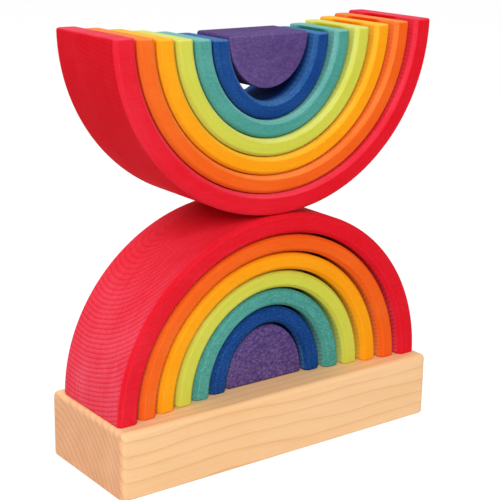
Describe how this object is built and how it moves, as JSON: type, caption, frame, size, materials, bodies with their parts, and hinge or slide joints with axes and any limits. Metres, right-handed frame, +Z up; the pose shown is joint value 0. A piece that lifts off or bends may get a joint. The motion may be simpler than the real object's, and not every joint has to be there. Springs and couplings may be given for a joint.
{
  "type": "rainbow stacker",
  "caption": "Wooden rainbow stacker: nested stained arches around a solid core on a base block, with a second nest balanced upside down on its crown.",
  "frame": {"origin": "middle of the base block's underside", "axes": "+Z up, +X along the base and across the arches, +Y from the front to the back through the arches"},
  "size_m": [0.2, 0.07, 0.223],
  "materials": {
    "natural_wood": "oiled matt",
    "red_stain": "stained matt",
    "orange_stain": "stained matt",
    "yellow_stain": "stained matt",
    "green_stain": "stained matt",
    "teal_stain": "stained matt",
    "blue_stain": "stained matt",
    "purple_stain": "stained matt"
  },
  "bodies": {
    "base": {"base": "natural_wood"},
    "lower_red_arch": {"lower_red_arch": "red_stain"},
    "lower_orange_arch": {"lower_orange_arch": "orange_stain"},
    "lower_yellow_arch": {"lower_yellow_arch": "yellow_stain"},
    "lower_green_arch": {"lower_green_arch": "green_stain"},
    "lower_teal_arch": {"lower_teal_arch": "teal_stain"},
    "lower_blue_arch": {"lower_blue_arch": "blue_stain"},
    "lower_purple_core": {"lower_purple_core": "purple_stain"},
    "upper_red_arch": {"upper_red_arch": "red_stain"},
    "upper_orange_arch": {"upper_orange_arch": "orange_stain"},
    "upper_yellow_arch": {"upper_yellow_arch": "yellow_stain"},
    "upper_green_arch": {"upper_green_arch": "green_stain"},
    "upper_teal_arch": {"upper_teal_arch": "teal_stain"},
    "upper_blue_arch": {"upper_blue_arch": "blue_stain"},
    "upper_purple_core": {"upper_purple_core": "purple_stain"}
  },
  "joints": [
    {"name": "lower_red_lift", "type": "slide", "parent": "base", "child": "lower_red_arch", "axis": [0, 0, 1], "range_m": [0, 0.1]},
    {"name": "lower_orange_slide", "type": "slide", "parent": "base", "child": "lower_orange_arch", "axis": [0, 1, 0], "range_m": [-0.06, 0.06]},
    {"name": "lower_yellow_slide", "type": "slide", "parent": "base", "child": "lower_yellow_arch", "axis": [0, 1, 0], "range_m": [-0.06, 0.06]},
    {"name": "lower_green_slide", "type": "slide", "parent": "base", "child": "lower_green_arch", "axis": [0, 1, 0], "range_m": [-0.06, 0.06]},
    {"name": "lower_teal_slide", "type": "slide", "parent": "base", "child": "lower_teal_arch", "axis": [0, 1, 0], "range_m": [-0.06, 0.06]},
    {"name": "lower_blue_slide", "type": "slide", "parent": "base", "child": "lower_blue_arch", "axis": [0, 1, 0], "range_m": [-0.06, 0.06]},
    {"name": "lower_purple_slide", "type": "slide", "parent": "base", "child": "lower_purple_core", "axis": [0, 1, 0], "range_m": [-0.06, 0.06]},
    {"name": "upper_red_lift", "type": "slide", "parent": "lower_red_arch", "child": "upper_red_arch", "axis": [0, 0, 1], "range_m": [0, 0.1]},
    {"name": "upper_orange_lift", "type": "slide", "parent": "upper_red_arch", "child": "upper_orange_arch", "axis": [0, 0, 1], "range_m": [0, 0.09]},
    {"name": "upper_yellow_lift", "type": "slide", "parent": "upper_orange_arch", "child": "upper_yellow_arch", "axis": [0, 0, 1], "range_m": [0, 0.08]},
    {"name": "upper_green_lift", "type": "slide", "parent": "upper_yellow_arch", "child": "upper_green_arch", "axis": [0, 0, 1], "range_m": [0, 0.07]},
    {"name": "upper_teal_lift", "type": "slide", "parent": "upper_green_arch", "child": "upper_teal_arch", "axis": [0, 0, 1], "range_m": [0, 0.06]},
    {"name": "upper_blue_lift", "type": "slide", "parent": "upper_teal_arch", "child": "upper_blue_arch", "axis": [0, 0, 1], "range_m": [0, 0.05]},
    {"name": "upper_purple_lift", "type": "slide", "parent": "upper_blue_arch", "child": "upper_purple_core", "axis": [0, 0, 1], "range_m": [0, 0.04]}
  ]
}
